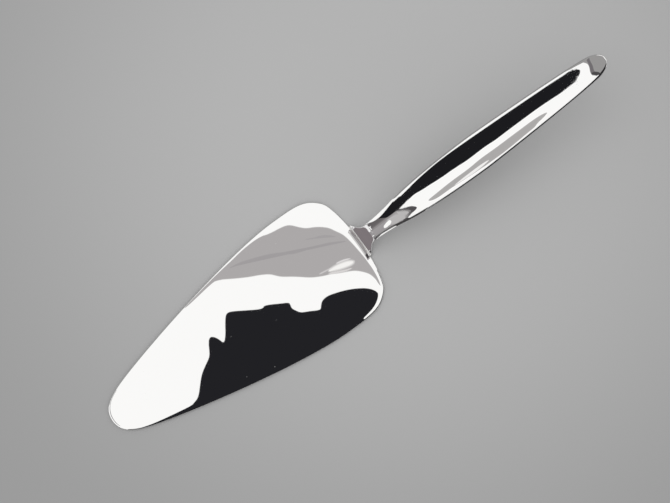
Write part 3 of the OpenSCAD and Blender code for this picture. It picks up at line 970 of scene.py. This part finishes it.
    # What the handle's near side and its end mirror.
    HANDLE_FRONT = (Plane.OVER_HANDLE, 1, 0.4, (0.02, 0.02, 0.022), [
        (22, -15), (30, -18.5), (60, -19.5), (101, -17.5), (108, -9.5), (112, -4.8), (114, -3.5), (117.5, -2.9),
        (122.5, -2.1), (127, -1.7), (134, -1), (150, -1.5), (185, -9), (230, -30), (230, -110), (30, -110), (20, -40),
    ])
    END_CAP = (Plane.OVER_HANDLE, 0, 0.2, (0.32, 0.315, 0.315), [
        (103, 30), (103.4, 6.5), (104.2, 5.2), (105.7, 4.6), (107, 3.8), (107.9, 3.3), (109, 3.5), (109.8, 2.8),
        (109.2, 1.6), (108.6, 0.9), (108, 0), (108, -0.5), (108.5, -1.1), (110.7, -2.3), (112.4, -6), (116, -8),
        (130, -7.5), (180, -9), (300, -14), (300, 6), (200, 5), (160, 6), (150, 8), (150, 30),
    ])
    END_LINE = (Plane.OVER_HANDLE, 2, 0.3, (0.17, 0.16, 0.17), [
        (113.6, 10), (112, 7), (111, 4.5), (110.2, 3), (109.5, 1.9), (108.7, 1), (107.9, 0.1), (107.8, -0.5),
        (108.3, -1.2), (110.6, -2.4), (111.4, -4), (112.6, -4), (110.9, -1.5), (110.2, -0.7), (110.9, 0.2),
        (111.7, 1.2), (112.1, 2.6), (113, 5), (115.4, 10),
    ])
    END_CORNER = (Plane.OVER_HANDLE, 3, 0.25, (0.07, 0.068, 0.07), [
        (108.1, -0.2), (107.9, -0.9), (109.4, -1.9), (111.2, -3.4), (112.6, -8), (115.4, -8), (113.4, -3),
        (110.8, -1.1),
    ])

    # What the neck's fan, its side and the blade's rear rim mirror.
    NECK_FACE = (Plane.BEFORE_NECK, 0, 0.1, (0.225, 0.2, 0.21), [
        (-7.9, 1), (7.9, 1), (7.9, 8), (7.2, 14), (5, 18), (-5, 18), (-7.2, 14), (-7.9, 8),
    ])
    RIM_FACE = (Plane.BEFORE_NECK, 2, 0.3, (0.6, 0.59, 0.59), [
        (-7.7, 2.2), (6.7, 2.2), (6.7, 8), (6, 14), (3.6, 17), (-4.6, 17), (-7, 14), (-7.7, 8),
    ])
    RIM_LINE = (Plane.BEFORE_NECK, 3, 0.8, (0.3, 0.29, 0.295), oblong(-7.6, 2.2, 5.6, 6.4))
    RIM_NOTCH = (Plane.BEFORE_NECK, 4, 0.3, (0.06, 0.055, 0.06), oblong(-7.8, 1.6, -5.7, 9.5))
    RIM_WHITE = (Plane.BEFORE_NECK, 1, 0.1, WHITE, oblong(6.4, 1, 14, 20))
    RIM_WHITE_FRONT = (Plane.BEFORE_NECK, 1, 0.1, WHITE, oblong(-14, 1, -8.2, 20))
    NECK_SIDE = (Plane.BESIDE_NECK, 0, 0.2, (0.12, 0.115, 0.12), oblong(3.4, 1.9, 8.9, 18))

    # What the undersides mirror, just above the floor.
    FLOOR_FRONT = (Plane.NEAR_FLOOR, 0, 1, (0.03, 0.03, 0.032), [
        (16.5, -8), (150, -8), (150, -160), (55, -160), (26, -45),
    ])
    FLOOR_MOUTH = (Plane.NEAR_FLOOR, 1, 1, WHITE, [(4, -9), (16.5, -9), (26, -45), (40, -90), (4, -90)])
    FLOOR_BACK = (Plane.NEAR_FLOOR, 0, 1, (0.2, 0.2, 0.2), oblong(10, 8.5, 150, 160))

    # The large flags beyond the part, for the steep sides.
    FLAG_FRONT = (Plane.FRONT, 0, 5, (0.02, 0.02, 0.022), oblong(-350, 0, 350, 260))
    FLAG_BACK = (Plane.BACK, 0, 5, (0.3, 0.3, 0.3), oblong(-350, 0, 350, 200))

    def __init__(self, plane: Plane, layer: int, soft: float, colour: Colour, corners: list[Pair]) -> None:
        """Keeps the card's place, look and corners."""
        self.plane, self.layer, self.soft, self.colour, self.corners = plane, layer, soft, colour, corners

    def outline(self) -> list[Vector]:
        """Returns the card's corners in the frame, with the turns of a many-sided card rounded off."""
        spots = [self.plane.spot(a, b, self.layer) for a, b in self.corners]
        for _ in range(ROUNDINGS if len(spots) > 4 else 0):
            spots = [p.lerp(q, t) for p, q in zip(spots, spots[1:] + spots[:1]) for t in (0.25, 0.75)]
        return spots


@dataclass
class Studio:
    """The floor, the cards, the soft light and the camera."""

    floor_tone: float = 0.44
    floor_size: float = 2.4
    floor_drop: float = 0.1 * MM
    # painted light falloff: the floor's colour darkens away from this centre, over this range of distances, to this
    # share of its tone
    painted_falloff_centre: Pair = (0.042, 0.027)
    painted_falloff_range: Pair = (0.05, 0.23)
    painted_falloff_share: float = 0.73
    sky: float = 0.87
    glossy_sky: float = 1.0
    key_power: float = 2.4
    key_size: float = 1.2
    key_place: tuple[float, float, float] = (-0.12, 0.3, 1.0)
    target: tuple[float, float, float] = (-8.273 * MM, 2.529 * MM, 0.0)
    distance: float = 596.5 * MM
    tilt: float = radians(3.446)
    turn: float = radians(36.097)
    field_of_view: float = radians(26)

    def emitter(self, name: str, colour: Colour) -> bpy.types.Material:
        """Returns a plain self-coloured material for a card, see-through towards the card's edge."""
        made, wire = blank(name)
        glow = wire.node("ShaderNodeEmission", {"Color": (*colour, 1.0), "Strength": 1.0})
        clear = wire.node("ShaderNodeBsdfTransparent")
        body = wire.node("ShaderNodeAttribute", attribute_name="body").outputs["Fac"]
        mixed = wire.node("ShaderNodeMixShader", {"0": body, "1": clear.outputs[0], "2": glow.outputs[0]})
        wire.node("ShaderNodeOutputMaterial", {"Surface": mixed.outputs[0]})
        return made

    def floor(self) -> None:
        """Lays the pale floor, with painted light falloff: its colour darkens away from a centre near the part."""
        bpy.ops.object.select_all(action="DESELECT")
        bpy.ops.mesh.primitive_plane_add(size=self.floor_size, location=(0, 0, -self.floor_drop))
        ground = bpy.context.object
        ground.name = "floor"
        made, wire = blank("floor_paper")
        spot = wire.node("ShaderNodeTexCoord").outputs["Object"]
        # painted shade: the floor's colour darkens with distance from the centre, standing in for the light falling
        # off
        shift = (-self.painted_falloff_centre[0], -self.painted_falloff_centre[1], 0.0)
        centred = wire.node("ShaderNodeMapping", {"Vector": spot, "Location": shift}).outputs[0]
        far = wire.node("ShaderNodeVectorMath", {"0": centred}, operation="LENGTH").outputs["Value"]
        tone = wire.between(far, *self.painted_falloff_range, self.floor_tone, self.floor_tone * self.painted_falloff_share)
        colour = wire.node("ShaderNodeCombineColor", {"Red": tone, "Green": tone, "Blue": tone}).outputs[0]
        matt = {"Base Color": colour, "Roughness": 1.0, "Specular IOR Level": 0.0}
        shader = wire.node("ShaderNodeBsdfPrincipled", matt)
        wire.node("ShaderNodeOutputMaterial", {"Surface": shader.outputs[0]})
        ground.data.materials.append(made)

    def hang(self, card: Card) -> None:
        """Hangs one flat card that only mirrors see."""
        name = f"card_{card.name.lower()}"
        spots = card.outline()
        bpy.ops.object.select_all(action="DESELECT")
        bpy.ops.mesh.primitive_circle_add(vertices=len(spots), radius=0.1, fill_type="NGON")
        sheet = bpy.context.object
        sheet.name = sheet.data.name = name
        for vertex, spot in zip(sheet.data.vertices, spots):
            vertex.co = spot
        only(sheet)
        bpy.ops.object.mode_set(mode="EDIT")
        bpy.ops.mesh.select_all(action="SELECT")
        bpy.ops.mesh.inset(thickness=card.soft * MM, depth=0, use_boundary=True, use_even_offset=True)
        bpy.ops.object.mode_set(mode="OBJECT")
        uses = Counter(key for face in sheet.data.polygons for key in face.edge_keys)
        rim = {corner for key, count in uses.items() if count == 1 for corner in key}
        body = sheet.data.attributes.new("body", "FLOAT", "POINT")
        body.data.foreach_set("value", [0.0 if i in rim else 1.0 for i in range(len(sheet.data.vertices))])
        sheet.data.materials.append(self.emitter(name, card.colour))
        sheet.visible_camera = False
        sheet.visible_diffuse = False
        sheet.visible_shadow = False

    def cards(self) -> None:
        """Hangs every card."""
        for card in Card:
            self.hang(card)

    def light(self) -> None:
        """Sets the even sky and one large soft lamp."""
        world = bpy.context.scene.world or bpy.data.worlds.new("sky")
        bpy.context.scene.world = world
        world.use_nodes = True
        wire = Wire(world.node_tree)
        path = wire.node("ShaderNodeLightPath").outputs
        mirror = wire.math("MAXIMUM", path["Is Glossy Ray"], path["Is Camera Ray"])
        strength = wire.between(mirror, 0.0, 1.0, self.sky, self.glossy_sky)
        sky = wire.node("ShaderNodeBackground", {"Color": (1.0, 1.0, 1.0, 1.0), "Strength": strength})
        wire.node("ShaderNodeOutputWorld", {"Surface": sky.outputs[0]})
        bpy.ops.object.select_all(action="DESELECT")
        bpy.ops.object.light_add(type="AREA", location=self.key_place)
        key = bpy.context.object
        key.name = "key"
        key.data.shape = "DISK"
        key.data.size = self.key_size
        key.data.energy = self.key_power
        key.rotation_euler = (-key.location).to_track_quat("-Z", "Y").to_euler()
        key.visible_glossy = False

    def camera(self) -> None:
        """Places the camera above the part."""
        right = Vector((cos(self.turn), -sin(self.turn), 0))
        ahead = Vector((sin(self.turn), cos(self.turn), 0))
        back = Vector((0, 0, cos(self.tilt))) - ahead * sin(self.tilt)
        up = back.cross(right)
        lens = bpy.data.cameras.new("camera")
        lens.sensor_fit = "HORIZONTAL"
        lens.angle = self.field_of_view
        lens.clip_start = 0.01
        view = bpy.data.objects.new("camera", lens)
        bpy.context.scene.collection.objects.link(view)
        turned = Matrix((right, up, back)).transposed().to_4x4()
        view.matrix_world = Matrix.Translation(Vector(self.target) + back * self.distance) @ turned
        bpy.context.scene.camera = view

    def build(self) -> None:
        """Sets the whole studio up."""
        self.floor()
        self.cards()
        self.light()
        self.camera()
        bpy.context.scene.view_settings.view_transform = "Standard"


def main() -> None:
    """Builds the pieces in order and then the studio."""
    logging.basicConfig(level=logging.INFO, format="%(message)s")
    marks = polish_group(Marks())
    bright = Silver("mirror_silver").material(marks)
    handle_silver = Silver("handle_silver", roughness=0.015, wave=0.05).material(marks)
    neck_silver = Silver("neck_silver", colour=(0.88, 0.87, 0.87), roughness=0.06, hairlines=0.6).material(marks)
    bead = Silver("braze_silver", colour=(0.93, 0.93, 0.91), roughness=0.12, wave=0.6, wave_scale=400).material(marks)
    blade = Blade()
    handle = Handle()
    blade.build(bright)
    handle.build(handle_silver, Cement().material())
    Neck().build(handle, blade, neck_silver, bead)
    Studio().build()


if __name__ == "__main__":
    main()
